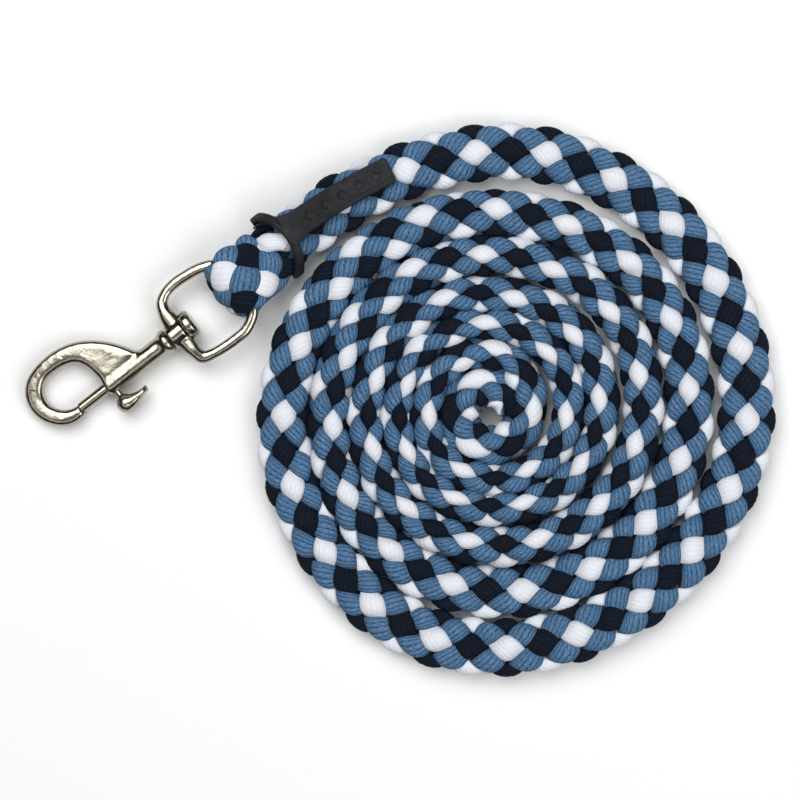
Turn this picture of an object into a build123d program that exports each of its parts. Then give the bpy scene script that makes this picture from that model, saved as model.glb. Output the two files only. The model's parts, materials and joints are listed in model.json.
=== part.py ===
from build123d import *
import os
from math import asin, cos, degrees, pi, radians, sin, tan

# A horse lead rope lying on a flat surface: a braided rope wound into a flat coil, its free turn
# led round the coil to an eye, and a swivel bolt snap in the eye. Millimetres, +Z up.
# The origin is the middle of the coil's underside. Every metal piece is drawn along its own
# axis first: X runs from the hook to the ring, Y to the left of that, Z up.

# --- Rope -----------------------------------------------------------------------------------
ROPE_HALF_WIDTH = 10.5
ROPE_HALF_HEIGHT = 7.5
BOUND_Z = 11.1  # middle of the rope where it is bound, and of the ring's bar in the eye

# The free turn, from the keeper round to the coil, then down to the surface after the keeper.
ROUTE = [
    (-80, 61, BOUND_Z),
    (-61, 76, 8.5),
    (-37, 89.5, 7.5),
    (-12, 97.5, 7.5),
    (13, 99.5, 7.5),
    (37, 94, 7.5),
    (60, 81, 7.5),
    (79, 62, 7.5),
    (92, 38, 7.5),
    (98.5, 12, 7.5),
    (97, -14, 7.5),
    (86.5, -39, 7.5),
    (69, -61.5, 7.5),
    (45, -78.5, 7.5),
    (17, -87.5, 7.5),
    (-12, -87, 7.5),
    (-38, -76, 7.5),
    (-59, -55, 7.5),
    (-71.5, -31, 7.5),
]

# The coil's outer shape: the radius of its outermost turn's outside, every 45 degrees
# clockwise from where the free turn comes in.
COIL_START = 203
COIL_RADII = [87, 86, 85, 84.5, 85, 82.5, 77, 72, 65]
COIL_HEIGHT = 20
COIL_EDGE = 3

# --- Eye and what holds it --------------------------------------------------------------------
EYE_HALF_WIDTH = 9.4
EYE_LEG = 7.4
EYE_HOLE = 3.6
EYE_SHIFT = 0.6  # the eye sits this far to the left of the snap's axis
KEEPER_START = 67
KEEPER_WIDTH = 5.2
KEEPER_WALL = 1.8
KEEPER_SHIFT = 2.4
KEEPER_BORE = (12.2, 9.3)
TAB_LENGTH = 51
TAB_WIDTH = 9.6
TAB_THICK = 2.2
TAB_TURN = -8.7
TAB_FALL = 5.5
TAB_SIDE = 3.3  # the tab leaves the band this far left of the band's middle
WHIPPING_LENGTH = 4.8
WHIPPING_WALL = 0.8

# --- Snap, along its own axis ------------------------------------------------------------------
SNAP_HEADING = 37.5
SNAP_ZERO = (-131.6, 18.4)  # where the snap's own zero lies, seen from above
PIVOT = 49.4  # the ring's bar, which the eye holds
HOOK_REACH = 41.8
HOOK_HALF_THICK = 3.4
HOOK_EDGE = 1.3
HOOK_OUTSIDE = [(-3.5, 14.2), (-13.5, 21.3), (-27, 23.2), (-38.5, 18.8), (-41.8, 9.5), (-36.5, -0.8)]
HOOK_INSIDE = [(-31.5, 3.2), (-35, 9.2), (-32, 15.4), (-24, 16.7), (-17, 14.3), (-14.2, 7.5)]
HOOK_TIP = -25.6
TIP_TOP = 1.7
TIP_BOTTOM = -2.8
SEAT_DEPTH = 1.2

BARREL_RADIUS = 3.9
BARREL_FRONT = -14
BARREL_END = 13.2
FLANGE_RADIUS = 5
FLANGE_END = 16.4
BORE_RADIUS = 2.1

PLUNGER_RADIUS = 2.05
PLUNGER_BACK = -4
TRAVEL = 10.5
KNOB_AT = -11.5
KNOB_POST = 1.2
KNOB_HEAD = 3.5
KNOB_START = 5.4  # the knob's head, from and to this far right of the snap's axis
KNOB_END = 11.4
THUMB_LENGTH = 8.5
THUMB_THICK = 2.4
THUMB_HALF_WIDTH = 3
SLOT_CLEARANCE = 0.15

SPRING_END = 12
SPRING_WIRE = 0.22
SPRING_COIL = 1.55
SPRING_TURNS = 7

RIVET_NECK = 2.4
RIVET_HEAD = 5.6
RIVET_HEAD_THICK = 4.2
RUNNING_GAP = 0.2
RUNNING_FIT = 0.06

RING_WIRE = 2.15
RING_BASE = 21
RING_BAR_THICK = 4.4
RING_BAR_HEIGHT = 5.6
RING_BOSS = 4.6
RING_CORNERS = [(RING_BASE, 11), (26, 15.3), (42, 15.6), (50.6, 9.5)]
RING_RADII = [3, 9, 10, 6]

SNAP_TILT = degrees(asin((BOUND_Z - HOOK_HALF_THICK) / (PIVOT + HOOK_REACH - 2)))


def along_snap(shape):
    """Turns a piece drawn along the snap's axis to where it lies, tipped down from the eye."""
    pivot = Pos(PIVOT, 0, 0)
    tipped = pivot * Rot(0, -SNAP_TILT, 0) * pivot.inverse() * shape
    return Pos(*SNAP_ZERO, BOUND_Z) * Rot(0, 0, SNAP_HEADING) * tipped


def along_rope(shape):
    """Turns a piece drawn along the snap's axis to its level place over the bound rope."""
    return Pos(*SNAP_ZERO, BOUND_Z) * Rot(0, 0, SNAP_HEADING) * shape


def rod(radius, start, end):
    """A round bar along X."""
    return Pos((start + end) / 2, 0, 0) * Rot(0, 90, 0) * Cylinder(radius, end - start)


def route_radii(points):
    """The arc at each inner point: as large as its two runs allow."""
    radii = []
    for before, here, after in zip(points, points[1:], points[2:]):
        arriving = Vector(here) - Vector(before)
        leaving = Vector(after) - Vector(here)
        half_turn = radians(arriving.get_angle(leaving)) / 2
        radii.append(0.45 * min(arriving.length, leaving.length) / tan(half_turn))
    return radii


def rope_lead():
    """The free turn of the rope as a plain tube of its flattened section."""
    radii = route_radii(ROUTE)
    path = FilletPolyline(*ROUTE, radius=radii)
    start = Plane(origin=path @ 0, x_dir=Vector(0, 0, 1).cross(path % 0), z_dir=path % 0)
    section = start * Ellipse(ROPE_HALF_WIDTH, ROPE_HALF_HEIGHT)
    tube = sweep(section, path=path)
    straight = pi * ROPE_HALF_WIDTH * ROPE_HALF_HEIGHT * path.length
    print("rope arcs, mm:", [round(r) for r in radii])
    print("rope length, mm:", round(path.length), "volume ratio:", round(tube.volume / straight, 4))
    return tube


def rope_coil():
    """The coil's outer shape: a disc whose edge is the outermost turn, stepped where it starts."""
    step = 45
    points = []
    for turn, radius in enumerate(COIL_RADII):
        angle = radians(COIL_START - step * turn)
        points.append((radius * cos(angle), radius * sin(angle)))
    outline = make_face(Curve() + [Spline(points), Line(points[-1], points[0])])
    disc = extrude(outline, COIL_HEIGHT)
    return chamfer(disc.edges().filter_by(Plane.XY), COIL_EDGE)


def rope_eye():
    """The rope folded over the ring's bar: two legs that come together at the keeper."""
    radius = EYE_HOLE + EYE_LEG
    bound = ROPE_HALF_HEIGHT
    far = KEEPER_START - RUNNING_GAP - PIVOT
    fold = Circle(radius) & Pos(-radius / 2, 0) * Rectangle(radius, 2 * radius)
    legs = make_face(Polyline((0, radius), (far, bound), (far, -bound), (0, -radius), close=True))
    side = fold + legs - Circle(EYE_HOLE)
    shape = extrude(Plane.XZ * side, EYE_HALF_WIDTH, both=True)
    return along_rope(Pos(PIVOT, EYE_SHIFT, 0) * shape)


def oval_ring(bore, wall, start, end):
    """An oval band along X round a bore given by its half width and half height."""
    plane = Plane(origin=(start, 0, 0), x_dir=(0, 1, 0), z_dir=(1, 0, 0))
    outside = Ellipse(bore[0] + wall, bore[1] + wall)
    return extrude(plane * (outside - Ellipse(*bore)), end - start)


def eye_whipping():
    """The twine bound tightly round the rope to close the eye, inside the keeper."""
    bore = (ROPE_HALF_WIDTH + 0.1, ROPE_HALF_HEIGHT + 0.1)
    ring = oval_ring(bore, WHIPPING_WALL, 0, WHIPPING_LENGTH)
    return along_rope(Pos(KEEPER_START, KEEPER_SHIFT, 0) * ring)


def rubber_keeper():
    """The moulded rubber keeper: a band round the rope with a flat tab along the rope's top."""
    band = oval_ring(KEEPER_BORE, KEEPER_WALL, KEEPER_START, KEEPER_START + KEEPER_WIDTH)
    top = KEEPER_BORE[1] + KEEPER_WALL / 2
    blade = fillet(Box(TAB_LENGTH, TAB_WIDTH, TAB_THICK).edges().filter_by(Axis.Z), TAB_WIDTH / 4)
    fall = degrees(asin(TAB_FALL / TAB_LENGTH))
    tab = Rot(0, 0, TAB_TURN) * Rot(0, fall, 0) * Pos(TAB_LENGTH / 2, 0, 0) * blade
    band = band + Pos(KEEPER_START + KEEPER_WIDTH / 2, TAB_SIDE, top + 0.3) * tab
    return along_rope(Pos(0, KEEPER_SHIFT, 0) * band)


def swivel_ring():
    """The D-shaped ring: round wire with a flat, bored bar across its foot."""
    left = [(x, y, 0) for x, y in RING_CORNERS]
    right = [(x, -y, 0) for x, y in reversed(RING_CORNERS)]
    radii = RING_RADII + RING_RADII[::-1]
    path = FilletPolyline(*left, *right, radius=radii, close=True)
    start = Plane(origin=path @ 0, z_dir=path % 0)
    wire = sweep(start * Circle(RING_WIRE), path=path)
    bar = Box(RING_BAR_THICK, 2 * RING_CORNERS[0][1], RING_BAR_HEIGHT)
    bar = fillet(bar.edges().filter_by(Axis.Y), 1)
    boss = rod(RING_BOSS, FLANGE_END + RUNNING_GAP, RING_BASE + RING_BAR_THICK / 2)
    body = wire + Pos(RING_BASE, 0, 0) * bar + boss
    return along_snap(body - rod(RIVET_NECK + RUNNING_FIT, RING_BASE - 10, RING_BASE + 10))


def hook_blank():
    """The hook as a flat casting with rounded edges, from its tip round into the barrel."""
    outside = Spline([(4, 3), *HOOK_OUTSIDE, (HOOK_TIP, TIP_BOTTOM)])
    inside = Spline([(HOOK_TIP, TIP_TOP), *HOOK_INSIDE, (-13.8, 1.5)])
    tip = Line(outside @ 1, inside @ 0)
    root = Line(inside @ 1, outside @ 0)
    face = make_face(Curve() + [outside, tip, inside, root])
    blank = extrude(face, HOOK_HALF_THICK, both=True)
    return chamfer(blank.edges().filter_by(Plane.XY), HOOK_EDGE)


def snap_body():
    """The cast hook and barrel, bored for the plunger and slotted for the thumb knob."""
    barrel = rod(BARREL_RADIUS, BARREL_FRONT, BARREL_END)
    flange = chamfer(rod(FLANGE_RADIUS, BARREL_END, FLANGE_END).edges(), 0.7)
    body = hook_blank() + barrel + flange
    body -= rod(BORE_RADIUS, BARREL_FRONT - 0.01, FLANGE_END + 1)
    mouth = Box(-HOOK_TIP + BARREL_FRONT, 2 * BORE_RADIUS, 2 * BARREL_RADIUS)
    body -= Pos((HOOK_TIP + BARREL_FRONT) / 2, 0, 0) * mouth
    body -= rod(BORE_RADIUS, HOOK_TIP - SEAT_DEPTH, HOOK_TIP + 1)
    slot_half = KNOB_POST + SLOT_CLEARANCE
    slot = Box(TRAVEL + 2 * slot_half, BARREL_RADIUS + 2, 2 * slot_half)
    body -= Pos(KNOB_AT + TRAVEL / 2, -(BARREL_RADIUS + 2) / 2, 0) * slot
    return along_snap(body)


def knob_post(length):
    """The knob's post, from the middle of the bolt out through the slot."""
    return knob_round(KNOB_POST, 0, length)


def knob_round(radius, start, end):
    """A round of the knob, from and to this far right of the snap's axis."""
    return Pos(KNOB_AT, -(start + end) / 2, 0) * Rot(90, 0, 0) * Cylinder(radius, end - start)


def plunger():
    """The sliding bolt that closes the hook, cross-bored for the knob's post."""
    bolt = rod(PLUNGER_RADIUS, HOOK_TIP - SEAT_DEPTH + RUNNING_GAP, PLUNGER_BACK)
    bolt = chamfer(bolt.edges(), 0.3)
    return along_snap(bolt - knob_post(PLUNGER_RADIUS + 1))


def thumb_knob():
    """The thumb knob: a post in the bolt, a round head, and a flat thumb rest along the barrel."""
    knob = knob_round(KNOB_POST, 0, KNOB_START + 1) + knob_round(KNOB_HEAD, KNOB_START, KNOB_END)
    rest = Box(THUMB_LENGTH, THUMB_THICK, 2 * THUMB_HALF_WIDTH)
    middle = (KNOB_START + KNOB_END) / 2
    return along_snap(knob + Pos(KNOB_AT + THUMB_LENGTH / 2, -middle, 0) * rest)


def plunger_spring():
    """The compression spring behind the bolt."""
    length = SPRING_END - PLUNGER_BACK - 4 * SPRING_WIRE
    helix = Helix(length / SPRING_TURNS, length, SPRING_COIL)
    start = Plane(origin=helix @ 0, z_dir=helix % 0)
    coil = sweep(start * Circle(SPRING_WIRE), path=helix, is_frenet=True)
    return along_snap(Pos(PLUNGER_BACK + 2 * SPRING_WIRE, 0, 0) * Rot(0, 90, 0) * coil)


def swivel_rivet():
    """The rivet that holds the ring: fast in the barrel, headed over inside the ring."""
    head_start = RING_BASE + RING_BAR_THICK / 2 + RUNNING_GAP
    head = rod(RIVET_HEAD, head_start, head_start + RIVET_HEAD_THICK)
    head = chamfer(head.edges(), 1.1)
    pin = rod(RIVET_NECK, FLANGE_END, head_start)
    return along_snap(rod(BORE_RADIUS - 0.02, SPRING_END, FLANGE_END) + pin + head)


PIECES = [
    snap_body,
    plunger,
    thumb_knob,
    plunger_spring,
    swivel_rivet,
    swivel_ring,
    rope_eye,
    eye_whipping,
    rubber_keeper,
    rope_lead,
    rope_coil,
]

os.makedirs("parts", exist_ok=True)
for piece in PIECES:
    export_step(piece(), f"parts/{piece.__name__}.step")
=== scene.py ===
"""A horse lead rope lying in a flat coil: eight braided strands, a rubber keeper and a bolt snap.

Lengths are in metres. The free turn's route and the places along the snap repeat the CAD model's
own numbers; its joints give the ring's pivot and the snap's axis.
"""

import json
import math

import bpy
import numpy as np
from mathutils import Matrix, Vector


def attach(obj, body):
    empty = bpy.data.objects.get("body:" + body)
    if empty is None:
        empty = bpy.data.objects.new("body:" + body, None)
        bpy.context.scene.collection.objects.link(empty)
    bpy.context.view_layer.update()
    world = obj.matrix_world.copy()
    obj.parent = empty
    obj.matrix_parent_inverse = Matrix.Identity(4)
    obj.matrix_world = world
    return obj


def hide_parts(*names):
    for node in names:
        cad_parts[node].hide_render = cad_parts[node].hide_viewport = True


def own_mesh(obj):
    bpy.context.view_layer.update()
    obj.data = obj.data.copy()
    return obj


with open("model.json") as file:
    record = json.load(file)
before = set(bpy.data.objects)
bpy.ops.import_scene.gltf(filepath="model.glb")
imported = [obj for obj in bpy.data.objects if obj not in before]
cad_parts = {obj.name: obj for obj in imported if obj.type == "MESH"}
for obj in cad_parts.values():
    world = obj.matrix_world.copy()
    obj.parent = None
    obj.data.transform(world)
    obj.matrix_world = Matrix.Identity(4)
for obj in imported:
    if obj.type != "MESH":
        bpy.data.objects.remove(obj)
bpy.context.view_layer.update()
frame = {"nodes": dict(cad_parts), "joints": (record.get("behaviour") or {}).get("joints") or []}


def cad_joint(name):
    """One joint of the CAD model."""
    return next(joint for joint in frame["joints"] if joint["name"] == name)


# --- Where things are, from the CAD model -------------------------------------------------------
HEADING = math.radians(37.5)  # the way the rope leaves the ring, turned from +X
ALONG = np.array([math.cos(HEADING), math.sin(HEADING), 0])
LEFT = np.array([-math.sin(HEADING), math.cos(HEADING), 0])
UP = np.array([0.0, 0.0, 1.0])
PIVOT = np.array(cad_joint("ring_in_eye")["pos_m"])  # the middle of the ring's bar
SNAP_AXIS = np.array(cad_joint("swivel")["axis"])
SNAP_AXIS *= np.sign(SNAP_AXIS @ ALONG)
SNAP_UP = np.cross(SNAP_AXIS, LEFT)
PIVOT_AT = 0.0494  # the ring's bar, from the snap's zero
KNOB_AT = -0.0115  # the thumb knob, from the snap's zero

# --- The view -----------------------------------------------------------------------------------
PICTURE_WIDTH = 0.3
PICTURE_MIDDLE = (-0.03225, 0.0056)
PICTURE_HEIGHT = 0.008  # the plane that fills the picture exactly
SKY_STOPS = [(0.0, 0.06), (0.55, 0.06), (0.73, 0.25), (0.80, 2.2), (0.87, 1.5), (0.92, 0.42)]
SKY_STRENGTH = 0.55

# --- The rope's route ---------------------------------------------------------------------------
# The free turn: the same points as in the CAD model.
ROUTE = [
    (-0.08, 0.061, 0.0111),
    (-0.061, 0.076, 0.0085),
    (-0.037, 0.0895, 0.0075),
    (-0.012, 0.0975, 0.0075),
    (0.013, 0.0995, 0.0075),
    (0.037, 0.094, 0.0075),
    (0.06, 0.081, 0.0075),
    (0.079, 0.062, 0.0075),
    (0.092, 0.038, 0.0075),
    (0.0985, 0.012, 0.0075),
    (0.097, -0.014, 0.0075),
    (0.0865, -0.039, 0.0075),
    (0.069, -0.0615, 0.0075),
    (0.045, -0.0785, 0.0075),
    (0.017, -0.0875, 0.0075),
    (-0.012, -0.087, 0.0075),
    (-0.038, -0.076, 0.0075),
    (-0.059, -0.055, 0.0075),
    (-0.0715, -0.031, 0.0075),
]

# The coil: the rope's middle, from the origin, at the left, top, right and bottom of each turn.
TURNS = [
    (0.0759, 0.0746, 0.0754, 0.0660),
    (0.0588, 0.0590, 0.0582, 0.0492),
    (0.0456, 0.0450, 0.0428, 0.0353),
    (0.0341, 0.0345, 0.0310, 0.0248),
    (0.0233, 0.0238, 0.0150, 0.0114),
    (0.0108, 0.0108, 0.0074),
]
RADIUS_BEFORE = 0.0840  # a quarter turn before the first of them
UPPER_RIGHT_BULGES = [0.0028, 0.0022, 0.0014, 0.0007]  # each turn bulges between top and right
BULGE_REACH = 0.42  # quarter turns
QUARTERS = sum(len(row) for row in TURNS) - 1
COIL_START = 203  # degrees; the coil is wound clockwise
FIRST_QUARTER = (180 - COIL_START) / 90
COIL_FROM = 0.478  # distance along the rope, from the keeper
POINTS_PER_TURN = 24
CORNER_CUT = math.cos(math.pi / POINTS_PER_TURN)  # how far a spline passes inside its points

# The eye: its fold over the ring's bar, and the tail that goes back under the keeper.
EYE_SHIFT = 0.0013  # the eye's middle, left of the bar's
EYE_RADIUS = 0.0073
EYE_REACH = 0.0062  # how far the fold goes past the ring's bar, at the rope's middle
KEEPER_AT = 0.0176  # from the ring's bar to the keeper's near edge
TAIL_START = KEEPER_AT + 0.004
TAIL_LENGTH = 0.019
TAIL_DROP = 0.0042
SEAM = 0.0056  # under the keeper, where the eye's strands meet the rope's

# --- The rope's section -------------------------------------------------------------------------
GIRTH = 0.056
LYING_HALF_HEIGHT = 0.0075

# Half width and half height along the eye and the free turn, by distance from the keeper.
SECTIONS = [
    (-0.062, 0.0090, 0.0028),
    (-0.050, 0.0125, 0.0034),
    (-0.038, 0.0134, 0.0040),
    (-0.029, 0.0108, 0.0040),
    (-0.019, 0.0134, 0.0044),
    (-0.007, 0.0130, 0.0055),
    (0.000, 0.0114, 0.0070),
    (0.006, 0.0112, 0.0074),
    (0.025, 0.0116, 0.0072),
    (0.060, 0.0110, 0.0075),
    (0.480, 0.0112, 0.0075),
]

# Half width at the coil's quarters, as in TURNS: it stands up on edge as the turns tighten.
TURN_HALF_WIDTHS = [
    (0.0104, 0.0096, 0.0098, 0.0104),
    (0.0083, 0.0080, 0.0080, 0.0078),
    (0.0074, 0.0073, 0.0071, 0.0068),
    (0.0067, 0.0067, 0.0068, 0.0067),
    (0.0066, 0.0068, 0.0078, 0.0080),
    (0.0090, 0.0085, 0.0070),
]
HALF_WIDTH_BEFORE = 0.0112
TIP_LENGTH = 0.008
TIP_TAPER = 0.35
ROLL_STEPS = [-90, -90, -90, -90, -45, 0]  # degrees, over the first third of each turn
COIL_LEAN = 12  # degrees the rope leans inward in the coil
EYE_ROLL = 33  # degrees
SAMPLE = 0.0005
JOIN_SAMPLES = 21

# --- Braid --------------------------------------------------------------------------------------
PITCH = 0.054  # along the rope, for one turn of a strand round it
STRANDS_EACH_WAY = 4
WHITE_TILE_AT = 0.0856  # along the rope, with a white tile on top
EYE_PHASE = 0.0045  # how far the tiles are moved along in the eye
EYE_CROWDING = 1.2  # the strands' crossings lie closer together in the eye
STRAND_HALF_WIDTH = 0.0050
STRAND_HALF_THICK = 0.0026
MEAN_WIDTH = 0.87  # a strand's mean width, as a share of the full one
WIDER_ON_TOP = 0.16  # how much of it comes and goes as the strand rises and dips
UNEVEN_WIDTH = 0.05
UNEVEN_TURN = 0.07
UNEVEN_WAVES = (0.035, 0.05)
FULLNESS = 0.9  # below 1, a strand's section is fuller than an ellipse
CREST = 1.2  # how flat the strands' crests are
WEAVE = 0.0023
CORE_SHARE = 0.8  # how deep a strand may go, as a share of the rope's smaller half
RING_STEP = 0.0009
RING_POINTS = 20
STITCH = 0.0026
WALES = 17
UNROLLED_GIRTH = 0.024  # a strand's, for its baking layer

# --- Metal --------------------------------------------------------------------------------------
VOXEL = 0.0003
FINE_VOXEL = 0.00022
SNAP_FILLET = 0.0011
RING_FILLET = 0.0012
KNOB_FILLET = 0.0007
BOSS_RADIUS = 0.0046
BOSS_SPAN = (0.0167, 0.0230)
RIVET_BORE = 0.00246
DRILL_SPAN = (0.010, 0.030)
POST_RADIUS = 0.0012
POST_LENGTH = 0.0080
KNOB_RADIUS = 0.0037
KNOB_OUT = 0.0090  # from the snap's axis to the middle of the knob's head
REST_BACK = 0.0012  # how far behind the post the thumb rest starts
REST_LENGTH = 0.0112
REST_BOW = 0.0006
REST_HALF_THICK = 0.0034
REST_THINS = 0.0022  # by its tip
REST_HALF_WIDTH = 0.0036
REST_NARROWS = 0.0006  # by its tip

# The ring's wire: its middle in the snap's frame, and its half width and half height there.
RING_LINE = [
    (0.0208, 0.0000, 0.0032, 0.0031),
    (0.0208, 0.0060, 0.0032, 0.0031),
    (0.0211, 0.0098, 0.0025, 0.0029),
    (0.0225, 0.0127, 0.0022, 0.0023),
    (0.0262, 0.0148, 0.0020, 0.0021),
    (0.0310, 0.0154, 0.00212, 0.00212),
    (0.0360, 0.0150, 0.00212, 0.00212),
    (0.0410, 0.0142, 0.00212, 0.00212),
    (0.0462, 0.0120, 0.00212, 0.00212),
    (0.0495, 0.0080, 0.00212, 0.00212),
    (0.0506, 0.0030, 0.00212, 0.00212),
    (0.0506, -0.0030, 0.00212, 0.00212),
    (0.0495, -0.0080, 0.00212, 0.00212),
    (0.0462, -0.0122, 0.00212, 0.00212),
    (0.0410, -0.0148, 0.00212, 0.00212),
    (0.0360, -0.0151, 0.00212, 0.00212),
    (0.0310, -0.0149, 0.00212, 0.00212),
    (0.0262, -0.0143, 0.0021, 0.0021),
    (0.0222, -0.0130, 0.0025, 0.0025),
    (0.0211, -0.0100, 0.0026, 0.0030),
    (0.0208, -0.0060, 0.0032, 0.0031),
]

# --- Keeper and twine ---------------------------------------------------------------------------
KEEPER_WIDTH = 0.0052
KEEPER_SHIFT = 0.0030  # the band's middle, left of the bar's
BAND_SHARE = 0.9  # of the keeper's width, before its edges are softened
BAND_SLIMMING = 0.2  # of that width, lost towards the top
BAND_HALF = (0.0131, 0.0101)  # middle of the band's wall, either side and up
BAND_PULL = 0.0060  # the tab draws the band's top this far along the rope
BAND_WALL = 0.0011  # half its thickness
TAB_FROM = (0.0258, 0.0044)  # from the ring's bar: along, and to the left
TAB_TO = (0.0714, -0.0005)
TAB_TOP = 0.0100  # above the bar, where the tab leaves the band
TAB_SINK = 0.0052
TAB_BOW = 0.0012
TAB_FLARE = 0.0012
TAB_HALF_WIDTH = 0.0052
TAB_HALF_THICK = 0.00115
RUBBER_VOXEL = 0.00032
MARKS = 5
MARKS_FROM = 0.24  # shares of the tab's length: the first mark, and the whole row
MARKS_SPAN = 0.62
MARK_SIZE = 0.0021
BORDER_AT = 0.0036  # from the tab's middle line
ENGRAVING = 0.0004
TWINE_TURNS = 3
TWINE_RADIUS = 0.00042
TWINE_LIFT = 0.0001
TWINE_START = 0.0016

# --- Colours, linear ----------------------------------------------------------------------------
# Each strand colour has a darker copy, painted as shade in the knit's grooves and holes, and a lighter
# copy, painted as highlight on its raised loop tops. The navy one, made paler still, also gives the
# twine its paler fibres.
BLUE = (0.066, 0.150, 0.275)
BLUE_PAINTED_SHADE = (0.010, 0.026, 0.055)
BLUE_PAINTED_HIGHLIGHT = (0.118, 0.225, 0.370)
NAVY = (0.0030, 0.0060, 0.0138)
NAVY_PAINTED_SHADE = (0.0012, 0.0020, 0.0040)
NAVY_PAINTED_HIGHLIGHT_AND_PALE_FIBRE = (0.0070, 0.0115, 0.0220)
WHITE = (0.67, 0.69, 0.74)
WHITE_PAINTED_SHADE = (0.52, 0.55, 0.62)
WHITE_PAINTED_HIGHLIGHT = (0.76, 0.78, 0.82)
RUBBER = (0.0075, 0.0085, 0.0105)
NICKEL = (0.375, 0.345, 0.283)
PAPER = (0.86, 0.86, 0.86)


# --- Numbers and places -------------------------------------------------------------------------

def unit(vectors):
    """Each vector at length one."""
    return vectors / np.linalg.norm(vectors, axis=-1, keepdims=True)


def smooth_step(x, low, high):
    """0 below low, 1 above high, smooth between."""
    t = np.clip((x - low) / (high - low), 0, 1)
    return t * t * (3 - 2 * t)


def rounded_end(t, start, least):
    """1 up to start, then a share that falls in a round curve towards 0 at 1, stopped short of it."""
    return math.sqrt(max(least, 1 - max(0, (t - start) / (1 - start)) ** 2))


def flat_sided(x, power):
    """A sine or cosine made flatter or sharper, with its sign kept."""
    return np.sign(x) * np.abs(x) ** power


def uneven(seed, s, wave):
    """A smooth unevenness along the rope, between about -1 and 1."""
    turns = s / wave
    return (np.sin(6.3 * turns + 1.7 * seed) + np.sin(10.1 * turns + 4.1 * seed)
            + np.sin(15.7 * turns + 2.9 * seed)) / 2


def on_snap(x, y):
    """A point in the snap's own frame: x along it from its zero, and y to the left."""
    return PIVOT + (x - PIVOT_AT) * SNAP_AXIS + y * LEFT


def on_rope(along, left, up):
    """A point given along, left of and above the ring's bar."""
    return PIVOT + along * ALONG + left * LEFT + up * UP


# --- Mesh helpers -------------------------------------------------------------------------------

def link(obj):
    bpy.context.scene.collection.objects.link(obj)
    return obj


def mesh_object(name, vertices, faces):
    """A smooth mesh object from arrays of points and faces."""
    mesh = bpy.data.meshes.new(name)
    mesh.from_pydata(np.asarray(vertices).tolist(), [], faces)
    mesh.validate()
    mesh.shade_smooth()
    return link(bpy.data.objects.new(name, mesh))


def node_copy(node, name):
    """A copy of one of the CAD model's pieces, to be worked on."""
    return link(bpy.data.objects.new(name, frame["nodes"][node].data.copy()))


def join(pieces):
    """One object from several."""
    bpy.ops.object.select_all(action="DESELECT")
    for piece in pieces:
        piece.select_set(True)
    bpy.context.view_layer.objects.active = pieces[0]
    bpy.ops.object.join()
    return pieces[0]


def add_modifier(piece, kind, **settings):
    modifier = piece.modifiers.new(kind.lower(), kind)
    for name, value in settings.items():
        setattr(modifier, name, value)


def apply_modifiers(piece):
    """Puts a piece's modifiers into its mesh."""
    graph = bpy.context.evaluated_depsgraph_get()
    mesh = bpy.data.meshes.new_from_object(piece.evaluated_get(graph))
    piece.modifiers.clear()
    piece.data = mesh


def cast_in_one(piece, voxel, fillet, rounds):
    """Fuses a piece's parts into one skin, fills its inner corners and softens its edges."""
    if fillet:
        for reach in (fillet, -fillet):
            add_modifier(piece, "REMESH", mode="VOXEL", voxel_size=voxel)
            add_modifier(piece, "DISPLACE", strength=reach, mid_level=0)
    add_modifier(piece, "REMESH", mode="VOXEL", voxel_size=voxel)
    add_modifier(piece, "SMOOTH", iterations=rounds)
    apply_modifiers(piece)
    piece.data.shade_smooth()
    return piece


def bored(piece, radius, start, end):
    """A piece with a round hole through it along the snap's axis."""
    drill = round_bar("drill", radius, on_snap(start, 0), on_snap(end, 0))
    add_modifier(piece, "BOOLEAN", operation="DIFFERENCE", object=drill, solver="EXACT")
    apply_modifiers(piece)
    bpy.data.objects.remove(drill)
    return piece


def rounded_section(middle, wide, tall, half_width, half_thick, corner=0.5):
    """A flat section with round edges: wide and tall are unit directions."""
    angles = np.linspace(0, 2 * np.pi, 24, endpoint=False)
    across = half_width * flat_sided(np.cos(angles), corner)
    through = half_thick * flat_sided(np.sin(angles), corner)
    return [middle + a * wide + t * tall for a, t in zip(across, through)]


def swept(name, rings, closed):
    """A skin over rings of points, joined end to end if closed and capped if not."""
    grid = np.array(rings)
    count, sides = grid.shape[:2]
    faces = []
    for ring in range(count if closed else count - 1):
        after = (ring + 1) % count
        for side in range(sides):
            beside = (side + 1) % sides
            faces.append((ring * sides + side, ring * sides + beside,
                          after * sides + beside, after * sides + side))
    if not closed:
        faces.append(tuple(range(sides))[::-1])
        faces.append(tuple((count - 1) * sides + side for side in range(sides)))
    return mesh_object(name, grid.reshape(-1, 3), faces)


def round_bar(name, radius, start, end):
    """A straight round bar between two points."""
    heading = unit(end - start)
    wide = unit(np.cross(heading, UP + 0.1 * LEFT))
    tall = np.cross(heading, wide)
    rings = []
    for t in np.linspace(0, 1, 16):
        rings.append(rounded_section(start + (end - start) * t, wide, tall, radius, radius, 1))
    return swept(name, rings, closed=False)


def closed_line(rows, per_row):
    """A smooth closed line through rows of values."""
    rows = np.array(rows)
    line = []
    for index in range(len(rows)):
        p0, p1, p2, p3 = (rows[(index + k) % len(rows)] for k in (-1, 0, 1, 2))
        for t in np.arange(per_row) / per_row:
            line.append(0.5 * (2 * p1 + (p2 - p0) * t + (2 * p0 - 5 * p1 + 4 * p2 - p3) * t**2
                               + (3 * p1 - p0 - 3 * p2 + p3) * t**3))
    return np.array(line)


# --- Shader helpers -----------------------------------------------------------------------------

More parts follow.
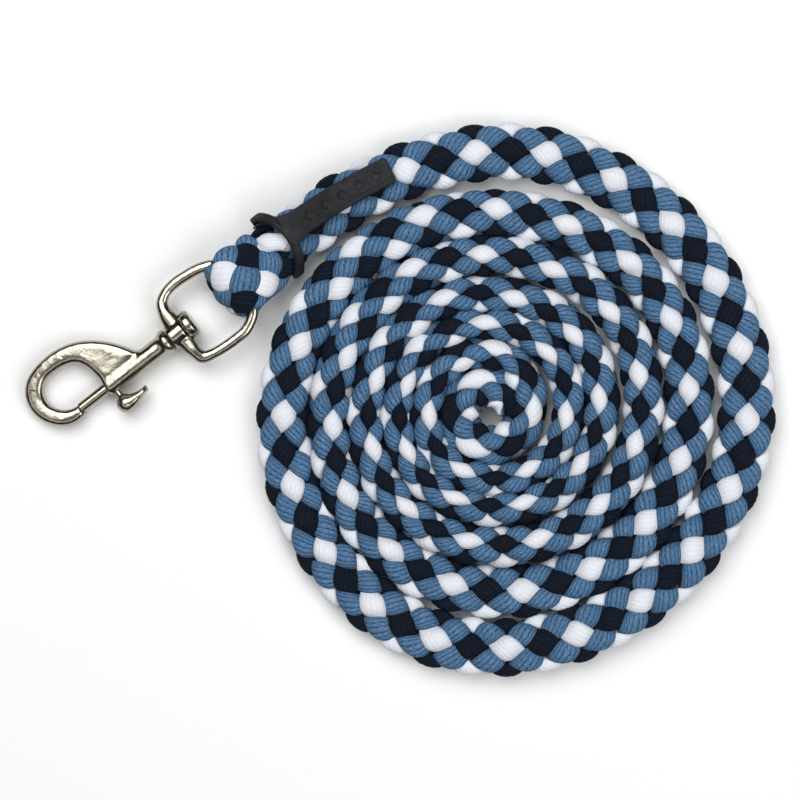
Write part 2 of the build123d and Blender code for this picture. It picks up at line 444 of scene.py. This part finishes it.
class Shader:
    """A material with its Principled shader, and short ways to add nodes to it."""

    def __init__(self, name, **constants):
        self.material = bpy.data.materials.new(name)
        self.material.use_nodes = True
        self.tree = self.material.node_tree
        self.principled = self.tree.nodes["Principled BSDF"]
        for socket, value in constants.items():
            self.principled.inputs[socket.replace("_", " ")].default_value = value

    def node(self, kind, inputs=None, **settings):
        """A node with its settings, and each input set to a value or joined to a socket."""
        node = self.tree.nodes.new(kind)
        for name, value in settings.items():
            setattr(node, name, value)
        for key, value in (inputs or {}).items():
            if isinstance(value, bpy.types.NodeSocket):
                self.tree.links.new(value, node.inputs[key])
            else:
                node.inputs[key].default_value = value
        return node

    def math(self, operation, *values, clamp=False):
        inputs = dict(enumerate(values))
        return self.node("ShaderNodeMath", inputs, operation=operation, use_clamp=clamp).outputs[0]

    def from_middle(self, value):
        """How far a value is from the middle of its whole step: 0 to a half."""
        return self.math("ABSOLUTE", self.math("SUBTRACT", self.math("FRACT", value), 0.5))

    def noise(self, scale, detail=3, roughness=0.5):
        vector = self.node("ShaderNodeTexCoord").outputs["Object"]
        inputs = {"Vector": vector, "Scale": scale, "Detail": detail, "Roughness": roughness}
        return self.node("ShaderNodeTexNoise", inputs).outputs["Fac"]

    def span(self, value, low, high, to_low=0.0, to_high=1.0):
        """Maps low..high smoothly to to_low..to_high, held at the ends."""
        inputs = {"Value": value, 1: low, 2: high, 3: to_low, 4: to_high}
        return self.node("ShaderNodeMapRange", inputs, interpolation_type="SMOOTHSTEP").outputs[0]

    def mix(self, factor, first, second):
        inputs = {0: factor, 6: as_colour(first), 7: as_colour(second)}
        return self.node("ShaderNodeMix", inputs, data_type="RGBA").outputs[2]

    def set(self, socket, value):
        self.tree.links.new(value, self.principled.inputs[socket])

    def bump(self, height, distance, strength=1.0):
        inputs = {"Height": height, "Distance": distance, "Strength": strength}
        self.set("Normal", self.node("ShaderNodeBump", inputs).outputs[0])


def as_colour(value):
    return value if isinstance(value, bpy.types.NodeSocket) else (*value, 1)


# --- Camera, light and floor --------------------------------------------------------------------

def add_camera():
    """Straight above the middle of the picture, on a long lens."""
    camera = link(bpy.data.objects.new("camera", bpy.data.cameras.new("camera")))
    camera.data.lens = 120
    camera.data.sensor_width = 36
    distance = PICTURE_WIDTH * camera.data.lens / camera.data.sensor_width
    camera.location = (*PICTURE_MIDDLE, distance + PICTURE_HEIGHT)
    bpy.context.scene.camera = camera


def add_area_light(name, place, size, watts):
    """A square lamp that faces the origin."""
    light = bpy.data.lights.new(name, "AREA")
    light.shape = "RECTANGLE"
    light.size = light.size_y = size
    light.energy = watts
    lamp = link(bpy.data.objects.new(name, light))
    lamp.location = place
    lamp.rotation_euler = (-Vector(place)).to_track_quat("-Z", "Y").to_euler()


def add_studio():
    """A pale floor under two large soft lights and a graded sky."""
    bpy.ops.mesh.primitive_plane_add(size=6)
    floor = bpy.context.object
    floor.name = "floor"
    paper = Shader("paper", Base_Color=(*PAPER, 1), Roughness=0.9)
    floor.data.materials.append(paper.material)
    add_area_light("key", (-0.3, 0.45, 1.0), 0.9, 10)
    add_area_light("fill", (0.6, -0.35, 0.9), 0.8, 6)
    bpy.context.scene.world = studio_sky()
    bpy.context.scene.view_settings.view_transform = "Standard"


def studio_sky():
    """Bright overhead and dark at the horizon, so that rounded metal has dark edges."""
    world = bpy.data.worlds.new("studio")
    world.use_nodes = True
    tree = world.node_tree
    where = tree.nodes.new("ShaderNodeTexCoord")
    split = tree.nodes.new("ShaderNodeSeparateXYZ")
    ramp = tree.nodes.new("ShaderNodeValToRGB")
    tree.links.new(where.outputs["Generated"], split.inputs[0])
    tree.links.new(split.outputs["Z"], ramp.inputs["Fac"])
    tree.links.new(ramp.outputs["Color"], tree.nodes["Background"].inputs["Color"])
    elements = ramp.color_ramp.elements
    while len(elements) < len(SKY_STOPS):
        elements.new(0.5)
    for element, (height, brightness) in zip(elements, SKY_STOPS):
        element.position = height
        element.color = (brightness, brightness, brightness, 1)
    tree.nodes["Background"].inputs["Strength"].default_value = SKY_STRENGTH
    return world


# --- The rope's path ----------------------------------------------------------------------------

def between_quarters(rows, before, quarter):
    """A smooth value at a place counted in quarter turns from the first turn's left."""
    values = [before] + [value for row in rows for value in row]
    values.append(2 * values[-1] - values[-2])
    place = min(max(quarter + 1, 0), len(values) - 2.001)
    index = int(place)
    t = place - index
    p0 = values[max(index - 1, 0)]
    p1, p2 = values[index], values[index + 1]
    p3 = values[min(index + 2, len(values) - 1)]
    slope1, slope2 = (p2 - p0) / 2, (p3 - p1) / 2
    a = 2 * p1 - 2 * p2 + slope1 + slope2
    b = -3 * p1 + 3 * p2 - 2 * slope1 - slope2
    return ((a * t + b) * t + slope1) * t + p1


def half_height(half_width):
    """How tall the rope stands when it is squeezed to this half width."""
    return np.sqrt(2 * (GIRTH / (2 * math.pi)) ** 2 - half_width**2)


def coil_points():
    """Points for the rope's middle round the coil, clockwise and inward."""
    points = []
    step = 4 / POINTS_PER_TURN
    quarter = FIRST_QUARTER + step
    while quarter < QUARTERS + step / 2:
        radius = between_quarters(TURNS, RADIUS_BEFORE, quarter) / CORNER_CUT
        for turn, bulge in enumerate(UPPER_RIGHT_BULGES):
            radius += bulge * math.exp(-(((quarter - 1.5 - 4 * turn) / BULGE_REACH) ** 2))
        width = between_quarters(TURN_HALF_WIDTHS, HALF_WIDTH_BEFORE, quarter)
        angle = math.pi - quarter * math.pi / 2
        points.append((radius * math.cos(angle), radius * math.sin(angle), half_height(width)))
        quarter += step
    return points


def spline_points(points):
    """The line of the NURBS spline through its control points, without any thickness."""
    curve = bpy.data.curves.new("route", "CURVE")
    curve.dimensions = "3D"
    spline = curve.splines.new("NURBS")
    spline.points.add(len(points) - 1)
    for point, place in zip(spline.points, points):
        point.co = (*place, 1)
    spline.order_u = 3
    spline.use_endpoint_u = True
    spline.resolution_u = 16
    holder = link(bpy.data.objects.new("route", curve))
    graph = bpy.context.evaluated_depsgraph_get()
    mesh = bpy.data.meshes.new_from_object(holder.evaluated_get(graph))
    line = np.array([vertex.co for vertex in mesh.vertices])
    bpy.data.objects.remove(holder)
    return line


def eye_points():
    """The rope's middle in the eye: the tail under the keeper, round the bar, and back on top."""
    middle = PIVOT + EYE_SHIFT * LEFT
    shares = np.linspace(0, 1, 30)
    angles = np.linspace(0.03, math.pi - 0.03, 40)
    lower = EYE_RADIUS - TAIL_DROP
    tail = [(TAIL_START - TAIL_LENGTH * t, -TAIL_DROP - lower * smooth_step(t, 0, 1)) for t in shares]
    fold = [(-EYE_REACH * math.sin(a), -EYE_RADIUS * math.cos(a)) for a in angles]
    back = [(KEEPER_AT * t, EYE_RADIUS * (1 - smooth_step(t, 0, 1))) for t in shares[:-1]]
    return np.array([middle + along * ALONG + z * UP for along, z in tail + fold + back])


class Path:
    """The rope's middle line with its section, each sampled by distance from the keeper."""

    def __init__(self):
        route = spline_points(ROUTE + coil_points())
        eye = eye_points()
        line = np.vstack([eye, route])
        lengths = np.linalg.norm(np.diff(line, axis=0), axis=1)
        keep = np.concatenate([[True], lengths > 1e-7])
        at_start = lengths[: len(eye)].sum()
        distance = np.concatenate([[0], np.cumsum(lengths)]) - at_start
        line, distance = line[keep], distance[keep]
        self.start, self.end = distance[0], distance[-1]
        self.s = np.arange(self.start, self.end, SAMPLE)
        self.points = np.array([np.interp(self.s, distance, column) for column in line.T]).T
        self.smooth_join()
        self.set_directions()
        self.quarter = self.coil_quarters()
        self.set_widths()
        self.set_roll()

    def smooth_join(self):
        """Takes the small kink out of the line where the eye meets the route."""
        window = np.hanning(JOIN_SAMPLES)
        window /= window.sum()
        share = 1 - smooth_step(np.abs(self.s), 0.006, 0.012)
        for axis in range(3):
            column = self.points[:, axis]
            smooth = np.convolve(column, window, "same")
            self.points[:, axis] = np.where(share > 0, column + share * (smooth - column), column)

    def set_directions(self):
        """Unit directions at each sample: level to the rope's left, and up across it."""
        tangent = unit(np.gradient(self.points, axis=0))
        flat = np.cross(UP, tangent)
        flat[self.s < 0] = LEFT
        self.side = unit(flat - tangent * np.sum(flat * tangent, axis=1, keepdims=True))
        self.up = np.cross(tangent, self.side)

    def coil_quarters(self):
        """The quarter turns of the coil at each sample, counted from the first turn's left."""
        angle = np.unwrap(np.arctan2(self.points[:, 1], self.points[:, 0]))
        first = np.searchsorted(self.s, COIL_FROM)
        start = math.radians(COIL_START)
        whole_turns = round((start - angle[first]) / (2 * math.pi))
        turned = (start - angle) - whole_turns * 2 * math.pi
        return np.where(self.s > COIL_FROM, turned / (math.pi / 2) + FIRST_QUARTER, FIRST_QUARTER)

    def set_widths(self):
        """Half width and half height: the free turn's sections, then the coil's."""
        places, widths, heights = zip(*SECTIONS)
        coil_width = np.array([between_quarters(TURN_HALF_WIDTHS, HALF_WIDTH_BEFORE, quarter)
                               for quarter in self.quarter])
        coil = smooth_step(self.s, COIL_FROM - 0.06, COIL_FROM + 0.02)
        tip = 1 - TIP_TAPER * smooth_step(self.s, self.end - TIP_LENGTH, self.end)
        width = np.interp(self.s, places, widths)
        height = np.interp(self.s, places, heights)
        self.width = (width * (1 - coil) + coil_width * coil) * tip
        self.height = (height * (1 - coil) + half_height(coil_width) * coil) * tip

    def set_roll(self):
        """How far the rope is rolled about its own line, and how far it leans inward."""
        turn = self.quarter / 4
        whole = np.floor(turn)
        part = smooth_step(turn - whole, -0.02, 0.36)
        steps = np.array(ROLL_STEPS)
        before = np.concatenate([[0], np.cumsum(steps)])
        which = np.clip(whole.astype(int), 0, len(steps) - 1)
        roll = np.where(whole < 0, 0, before[which] + steps[which] * part)
        in_eye = 1 - smooth_step(self.s, -0.004, 0.008)
        self.roll = np.radians(roll + EYE_ROLL * in_eye)
        self.lean = np.radians(COIL_LEAN) * smooth_step(self.quarter, 0, 4)

    def at(self, name, s):
        """One of the sampled values at any distances."""
        values = getattr(self, name)
        if values.ndim == 1:
            return np.interp(s, self.s, values)
        return np.stack([np.interp(s, self.s, values[:, axis]) for axis in range(3)], axis=-1)


# --- Strands ------------------------------------------------------------------------------------

def strand_angle(way, index, s):
    """How far round the rope a strand is at each distance along it."""
    crowded = np.where(s < 0, EYE_CROWDING * s, s) + EYE_PHASE * (1 - smooth_step(s, -0.002, 0.007))
    return way * 2 * np.pi * (crowded - WHITE_TILE_AT) / PITCH + index * 2 * np.pi / STRANDS_EACH_WAY


def under_skin(rise, around, width, height):
    """A strand's points measured out from the rope's skin: 0 at its crests and negative below."""
    scale = np.clip(np.minimum(width, height) / LYING_HALF_HEIGHT, 0.5, 1)
    thick = STRAND_HALF_THICK * flat_sided(np.sin(around), FULLNESS)
    out = scale * (WEAVE * (rise - 1) - STRAND_HALF_THICK + thick)
    deepest = CORE_SHARE * np.minimum(width, height)
    return deepest * np.tanh(out / deepest)


def on_oval(turned, width, height, out):
    """Points out from an oval, sideways and up; turned grows evenly along the oval's edge."""
    flatness = (width - height) / (width + height) / 2
    angle = turned
    for _ in range(8):
        angle = turned - flatness * np.sin(2 * angle)
    aside, above = height * np.sin(angle), width * np.cos(angle)
    size = np.hypot(aside, above)
    return width * np.sin(angle) + out * aside / size, height * np.cos(angle) + out * above / size


def strand_grid(path, way, index, start, end):
    """Rings of points along one strand: way is +1 for the blue ones and -1 for the others."""
    s = np.arange(start, end, RING_STEP)[:, None]
    theta = strand_angle(way, index, s)
    rise = np.tanh(CREST * -way * np.cos(STRANDS_EACH_WAY * theta)) / np.tanh(CREST)
    around = np.linspace(0, 2 * np.pi, RING_POINTS, endpoint=False)[None, :]
    seed = 3 * index + way
    share = MEAN_WIDTH + WIDER_ON_TOP * rise + UNEVEN_WIDTH * uneven(seed, s, UNEVEN_WAVES[0])
    across = STRAND_HALF_WIDTH * share * flat_sided(np.cos(around), FULLNESS)
    slope = math.atan2(GIRTH, PITCH)
    place = np.clip(s - way * across * math.sin(slope), path.start, path.end)
    theta = theta + 2 * np.pi / GIRTH * across * math.cos(slope)
    theta = theta + UNEVEN_TURN * uneven(seed + 7, s, UNEVEN_WAVES[1])
    width, height = path.at("width", place), path.at("height", place)
    out = under_skin(rise, around, width, height)
    x, y = on_oval(theta + path.at("roll", place), width, height, out)
    lean = path.at("lean", place)
    x, y = x * np.cos(lean) - y * np.sin(lean), x * np.sin(lean) + y * np.cos(lean)
    side, up = path.at("side", place), path.at("up", place)
    return path.at("points", place) + x[..., None] * side + y[..., None] * up


def tube_mesh(name, grid):
    """A closed tube over rings of points, with a knit layer and a baking layer of UVs."""
    rings, sides = grid.shape[:2]
    first, last = grid[0].mean(axis=0), grid[-1].mean(axis=0)
    vertices = np.vstack([grid.reshape(-1, 3), first, last])
    ring, side = np.meshgrid(np.arange(rings - 1), np.arange(sides), indexing="ij")
    ring, side = ring.ravel(), side.ravel()
    beside = (side + 1) % sides
    quads = np.stack([ring * sides + side, ring * sides + beside,
                      (ring + 1) * sides + beside, (ring + 1) * sides + side], axis=1)
    one = np.arange(sides)
    other = (one + 1) % sides
    offset = (rings - 1) * sides
    start_cap = np.stack([np.full(sides, rings * sides), other, one], axis=1)
    end_cap = np.stack([np.full(sides, rings * sides + 1), offset + one, offset + other], axis=1)
    piece = mesh_object(name, vertices, quads.tolist() + start_cap.tolist() + end_cap.tolist())
    middle = grid.mean(axis=1)
    run = np.concatenate([[0], np.cumsum(np.linalg.norm(np.diff(middle, axis=0), axis=1))])
    add_knit_layer(piece, run, ring, side, sides)
    add_bake_layer(piece, run, ring, side, sides)
    return piece


def add_uv_layer(piece, name, u, v, sides):
    """A UV layer with these corners for the quads, and zeros for the two caps."""
    quads = np.stack([u, v], axis=-1).reshape(-1, 2)
    caps = np.zeros((2 * sides * 3, 2))
    layer = piece.data.uv_layers.new(name=name)
    layer.data.foreach_set("uv", np.vstack([quads, caps]).ravel())


def add_knit_layer(piece, run, ring, side, sides):
    """Metres along the strand, and a share of the way round it."""
    u = np.stack([run[ring], run[ring], run[ring + 1], run[ring + 1]], axis=1)
    v = np.stack([side, side + 1, side + 1, side], axis=1) / sides
    add_uv_layer(piece, "knit", u, v, sides)


def add_bake_layer(piece, run, ring, side, sides):
    """Lays the long strip of a tube out in rows that fill a square."""
    rows = max(1, math.ceil(math.sqrt(run[-1] / UNROLLED_GIRTH)))
    row_length = run[-1] * 1.001 / rows
    margin = 0.04
    row = np.minimum((run[ring] / row_length).astype(int), rows - 1)
    left = (run[ring] - row * row_length) / row_length
    right = (run[ring + 1] - row * row_length) / row_length
    u = 0.005 + 0.985 * np.stack([left, left, right, right], axis=1)
    low, high = side / sides, (side + 1) / sides
    v = np.stack([low, high, high, low], axis=1) * (1 - margin) + margin / 2
    add_uv_layer(piece, "OFBake", u, (row[:, None] + v) / rows, sides)


def knit_pattern(shader):
    """How far a point is from the middle of its wale, and of its loop in a bent row."""
    uv = shader.node("ShaderNodeUVMap", uv_map="knit").outputs[0]
    parts = shader.node("ShaderNodeSeparateXYZ", {0: uv})
    wobble = shader.math("SUBTRACT", shader.noise(420, 2), 0.5)
    drift = shader.math("SUBTRACT", shader.noise(110, 2), 0.5)
    wale = shader.math("MULTIPLY", parts.outputs[1], WALES)
    wale = shader.math("ADD", wale, shader.math("MULTIPLY", drift, 1.1))
    row = shader.math("MULTIPLY", parts.outputs[0], 1 / STITCH)
    row = shader.math("ADD", row, shader.math("MULTIPLY", wobble, 0.9))
    across = shader.from_middle(wale)
    offset = shader.math("MULTIPLY", shader.math("FLOOR", wale), 0.37)
    chevron = shader.math("ADD", row, offset)
    chevron = shader.math("ADD", chevron, shader.math("MULTIPLY", across, 1.3))
    return across, shader.from_middle(chevron)


def knit_material(name, base, dark, light, painted_shade_strength, depth, roughness):
    """A strand's own knitting: rows of small loops, with painted highlight on their raised tops and
    painted shade in the grooves and the holes between them.
    """
    shader = Shader(name, Roughness=roughness, Specular_IOR_Level=0.15)
    across, loop = knit_pattern(shader)
    ridge = shader.span(across, 0.5, 0.12)
    bead = shader.span(loop, 0.5, 0.2, 0.3, 1.0)
    height = shader.math("MULTIPLY", ridge, bead)
    # Painted shade: the hole between neighbouring loops is darkened towards the dark colour.
    hole = shader.math("MULTIPLY", shader.span(across, 0.3, 0.48), shader.span(loop, 0.25, 0.48))
    tone = shader.span(shader.noise(260, 4, roughness=0.65), 0.35, 0.7)
    # Painted highlight: each loop's raised middle is mixed towards the light colour, more or less by a
    # random tone.
    painted_highlight_mask = shader.math("MULTIPLY", height, shader.math("ADD", shader.math("MULTIPLY", tone, 0.8), 0.2))
    broken = shader.span(shader.noise(1600, 2), 0.47, 0.58, 0.05, 1.0)
    # Painted shade in the low grooves between the loops, broken up in places.
    painted_groove_shade = shader.math("MULTIPLY", shader.span(height, 0.45, 0.0), broken)
    # The light colour goes on as a painted highlight, and the dark colour as painted shade, over the
    # base.
    colour = shader.mix(painted_highlight_mask, base, light)
    colour = shader.mix(shader.math("MULTIPLY", painted_groove_shade, painted_shade_strength), colour, dark)
    colour = shader.mix(shader.math("MULTIPLY", hole, painted_shade_strength, clamp=True), colour, dark)
    shader.set("Base Color", colour)
    fibre = shader.math("MULTIPLY", shader.noise(2600, 2), 0.25)
    shader.bump(shader.math("ADD", height, fibre), depth)
    return shader.material


def add_rope(path):
    """The eight strands from the keeper to the coil's inner end, and the same eight in the eye."""
    # Each knit takes its base colour, a darker copy painted as shade, a lighter copy painted as
    # highlight, and how strong the painted shade is.
    blue = knit_material("blue_knit", BLUE, BLUE_PAINTED_SHADE, BLUE_PAINTED_HIGHLIGHT, 0.9, 0.0003, 0.8)
    navy = knit_material("navy_knit", NAVY, NAVY_PAINTED_SHADE, NAVY_PAINTED_HIGHLIGHT_AND_PALE_FIBRE, 0.6, 0.00018, 0.9)
    white = knit_material("white_knit", WHITE, WHITE_PAINTED_SHADE, WHITE_PAINTED_HIGHLIGHT, 0.12, 0.0001, 0.85)
    finishes = {"blue": (blue, "rope_blue"), "navy": (navy, "rope_navy"), "white": (white, "rope_white")}
    strands = []
    for index in range(STRANDS_EACH_WAY):
        strands.append(("blue", index + 1, 1, index))
        colour = "white" if index % 2 == 0 else "navy"
        strands.append((colour, index // 2 + 1, -1, index))
    rope, eye = [], []
    for colour, number, way, index in strands:
        material, slot = finishes[colour]
        for group, stem, start, end in (
            (rope, "strand", SEAM, path.end - 0.001),
            (eye, "eye_strand", path.start + 0.001, SEAM + 0.001),
        ):
            piece = tube_mesh(f"{stem}_{colour}_{number}", strand_grid(path, way, index, start, end))
            piece.data.materials.append(material)
            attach(piece, "rope")
            group.append(piece)
    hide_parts("rope_lead", "rope_coil")
    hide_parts("rope_eye")


# --- Metal --------------------------------------------------------------------------------------

def nickel_material(name, roughness, cast):
    """Warm nickel plate: glossy, faintly uneven where it is cast."""
    shader = Shader(name, Base_Color=(*NICKEL, 1), Metallic=1)
    smear = shader.span(shader.noise(180, 4), 0.3, 0.75, roughness, roughness + 0.14)
    shader.set("Roughness", smear)
    wavy = shader.math("ADD", shader.noise(150, 2), shader.math("MULTIPLY", shader.noise(1100, 2), 0.12))
    shader.bump(wavy, 0.0004 * cast, 0.6)
    return shader.material


def ring_casting():
    """The D ring: a round wire that thickens into its foot, with a boss round the rivet."""
    line = closed_line(RING_LINE, 8)
    middles = np.array([on_snap(x, y) for x, y, wide, tall in line])
    rings = []
    for index, (x, y, wide, tall) in enumerate(line):
        heading = unit(middles[(index + 1) % len(line)] - middles[index - 1])
        across = np.cross(heading, SNAP_UP)
        rings.append(rounded_section(middles[index], across, SNAP_UP, wide, tall, 0.85))
    wire = swept("ring_wire", rings, closed=True)
    boss = round_bar("ring_boss", BOSS_RADIUS, on_snap(BOSS_SPAN[0], 0), on_snap(BOSS_SPAN[1], 0))
    casting = cast_in_one(join([wire, boss]), VOXEL, RING_FILLET, 8)
    return bored(casting, RIVET_BORE, *DRILL_SPAN)


def thumb_piece():
    """The bolt's knob: a post, a round head, and a thumb rest that thins to its tip."""
    post = round_bar("post", POST_RADIUS, on_snap(KNOB_AT, 0), on_snap(KNOB_AT, -POST_LENGTH))
    rings = []
    for t in np.linspace(0, 1, 24):
        along = KNOB_AT - REST_BACK + REST_LENGTH * t
        middle = on_snap(along, -KNOB_OUT - REST_BOW * math.sin(math.pi * t))
        thick = REST_HALF_THICK - REST_THINS * smooth_step(t, 0.05, 0.9)
        wide = (REST_HALF_WIDTH - REST_NARROWS * t) * rounded_end(t, 0.8, 0.15)
        rings.append(rounded_section(middle, LEFT, SNAP_UP, thick, wide, 0.9))
    rest = swept("rest", rings, closed=False)
    bpy.ops.mesh.primitive_uv_sphere_add(radius=KNOB_RADIUS, location=on_snap(KNOB_AT, -KNOB_OUT),
                                         segments=32, ring_count=20)
    return cast_in_one(join([post, rest, bpy.context.object]), FINE_VOXEL, KNOB_FILLET, 6)


def add_metal():
    """The snap, the ring, the thumb knob and the rivet as castings; the bolt and its spring."""
    cast = nickel_material("nickel_cast", 0.12, 1)
    turned = nickel_material("nickel_turned", 0.12, 0.4)
    spring = nickel_material("spring_steel", 0.3, 0.2)
    snap = cast_in_one(node_copy("snap_body", "snap_casting"), VOXEL, SNAP_FILLET, 60)
    ring = ring_casting()
    thumb = thumb_piece()
    rivet = cast_in_one(node_copy("swivel_rivet", "rivet"), FINE_VOXEL, 0, 6)
    for piece, name, node, body in (
        (snap, "snap_casting", "snap_body", "snap"),
        (ring, "ring_casting", "swivel_ring", "ring"),
        (thumb, "thumb_piece", "thumb_knob", "bolt"),
        (rivet, "rivet", "swivel_rivet", "snap"),
    ):
        piece.name = name
        piece.data.materials.clear()
        piece.data.materials.append(cast)
        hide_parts(node)
        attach(piece, body)
    for slot in frame["nodes"]["plunger"].material_slots:
        slot.material = turned
    coil = node_copy("plunger_spring", "bolt_spring")
    coil.data.materials.clear()
    coil.data.materials.append(spring)
    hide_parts("plunger_spring")
    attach(coil, "snap")
    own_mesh(coil)


# --- Keeper and twine ---------------------------------------------------------------------------

def band_pull(angle):
    """How far the tab draws the band along the rope: nothing at its sides, most at its top."""
    return BAND_PULL * max(0, math.sin(angle)) ** 1.5


def keeper_band():
    """The closed band round the rope, leaning after the tab and narrower at its top."""
    rings = []
    for angle in np.linspace(0, 2 * np.pi, 72, endpoint=False):
        outward = unit(np.cos(angle) * BAND_HALF[1] * LEFT + np.sin(angle) * BAND_HALF[0] * UP)
        middle = on_rope(KEEPER_AT + KEEPER_WIDTH / 2 + band_pull(angle),
                         KEEPER_SHIFT + BAND_HALF[0] * math.cos(angle), BAND_HALF[1] * math.sin(angle))
        half_width = KEEPER_WIDTH / 2 * (BAND_SHARE - BAND_SLIMMING * max(0, math.sin(angle)))
        rings.append(rounded_section(middle, ALONG, outward, half_width, BAND_WALL))
    return swept("band", rings, closed=True)


def tab_middle(t):
    """The tab's middle line, from the band (0) to its free end (1), just over the rope."""
    along = TAB_FROM[0] + (TAB_TO[0] - TAB_FROM[0]) * t
    left = TAB_FROM[1] + (TAB_TO[1] - TAB_FROM[1]) * t + TAB_BOW * math.sin(math.pi * t)
    up = TAB_TOP - TAB_SINK * smooth_step(t, -0.05, 0.7)
    return on_rope(along, left, up)


def keeper_tab():
    """The flat tab, flared at the band and with soft corners at its free end."""
    rings = []
    for t in np.linspace(0, 1, 60):
        middle = tab_middle(t)
        heading = unit(tab_middle(t + 0.01) - tab_middle(t - 0.01))
        wide = unit(np.cross(UP, heading))
        tall = np.cross(heading, wide)
        flare = TAB_FLARE * (1 - smooth_step(t, 0.02, 0.14))
        half_width = (TAB_HALF_WIDTH + flare) * (0.7 + 0.3 * rounded_end(t, 0.975, 0.05))
        rings.append(rounded_section(middle, wide, tall, half_width, TAB_HALF_THICK, 0.35))
    return swept("tab", rings, closed=False)


def diamonds(along, across, length):
    """A row of diamonds down the tab: 1 inside them and 0 outside."""
    depth = np.zeros(len(along))
    for mark in range(MARKS):
        centre = MARKS_FROM + MARKS_SPAN * mark / (MARKS - 1)
        reach = np.abs(along - centre) * length / MARK_SIZE + across / MARK_SIZE
        depth = np.maximum(depth, 1 - smooth_step(reach, 0.75, 1.15))
    return depth


def border_lines(along, across):
    """A line beside each of the tab's long edges: 1 on it and 0 off it."""
    line = 1 - smooth_step(np.abs(across - BORDER_AT), 0.00015, 0.0005)
    return line * smooth_step(along, 0.14, 0.16) * (1 - smooth_step(along, 0.93, 0.95))


def engrave(piece):
    """Sinks a plain border line and a row of small diamonds into the tab's top."""
    mesh = piece.data
    points = np.array([vertex.co for vertex in mesh.vertices])
    normals = np.array([vertex.normal for vertex in mesh.vertices])
    start = tab_middle(0.0)
    run = tab_middle(1.0) - start
    length = np.linalg.norm(run[:2])
    heading = np.array([run[0], run[1], 0]) / length
    along = (points - start) @ heading / length
    bow = TAB_BOW * np.sin(np.pi * along)
    across = np.abs((points - start) @ np.cross(UP, heading) - bow)
    depth = np.maximum(diamonds(along, across, length), 0.6 * border_lines(along, across))
    on_top = smooth_step(normals[:, 2], 0.75, 0.95) * (along > 0.1) * (along < 1)
    points[:, 2] -= ENGRAVING * depth * on_top
    mesh.vertices.foreach_set("co", points.ravel())
    mesh.update()


def rubber_material():
    """Charcoal moulded rubber: matt, with a fine grain and paler rubbed patches."""
    shader = Shader("moulded_rubber", Specular_IOR_Level=0.22)
    patch = shader.span(shader.noise(90, 3), 0.35, 0.7)
    shader.set("Base Color", shader.mix(patch, RUBBER, tuple(1.7 * c for c in RUBBER)))
    shader.set("Roughness", shader.span(shader.noise(300, 3), 0.3, 0.7, 0.5, 0.68))
    shader.bump(shader.noise(1500, 3), 0.00012, 0.7)
    return shader.material


def add_keeper():
    """The rubber keeper as one moulding: a band with a tab that flares into it."""
    keeper = join([keeper_band(), keeper_tab()])
    keeper.name = "keeper"
    cast_in_one(keeper, RUBBER_VOXEL, 0, 6)
    engrave(keeper)
    keeper.data.materials.clear()
    keeper.data.materials.append(rubber_material())
    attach(keeper, "rope")
    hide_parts("rubber_keeper")


def twine_material():
    """Dark waxed twine with a soft sheen."""
    shader = Shader("waxed_twine", Roughness=0.55, Specular_IOR_Level=0.4)
    strands = shader.span(shader.noise(900, 2), 0.35, 0.65)
    shader.set("Base Color", shader.mix(strands, NAVY, tuple(2.5 * c for c in NAVY_PAINTED_HIGHLIGHT_AND_PALE_FIBRE)))
    shader.bump(shader.noise(2500, 2), 0.0002)
    return shader.material


def add_twine(path):
    """The twine whipping under the keeper."""
    rings = []
    for turn in np.linspace(0, TWINE_TURNS, TWINE_TURNS * 48):
        angle = 2 * np.pi * turn
        s = TWINE_START + 2 * TWINE_RADIUS * turn + band_pull(angle % (2 * math.pi))
        width, height = path.at("width", s) + TWINE_LIFT, path.at("height", s) + TWINE_LIFT
        side, up = path.at("side", s), path.at("up", s)
        middle = path.at("points", s) + width * math.cos(angle) * side + height * math.sin(angle) * up
        outward = unit(math.cos(angle) * height * side + math.sin(angle) * width * up)
        rings.append(rounded_section(middle, ALONG, outward, TWINE_RADIUS, TWINE_RADIUS, 1))
    twine = swept("whipping_twine", rings, closed=False)
    twine.data.materials.append(twine_material())
    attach(twine, "rope")
    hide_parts("eye_whipping")


# --- Making everything --------------------------------------------------------------------------

add_camera()
add_studio()
rope_path = Path()
add_rope(rope_path)
add_twine(rope_path)
add_keeper()
add_metal()
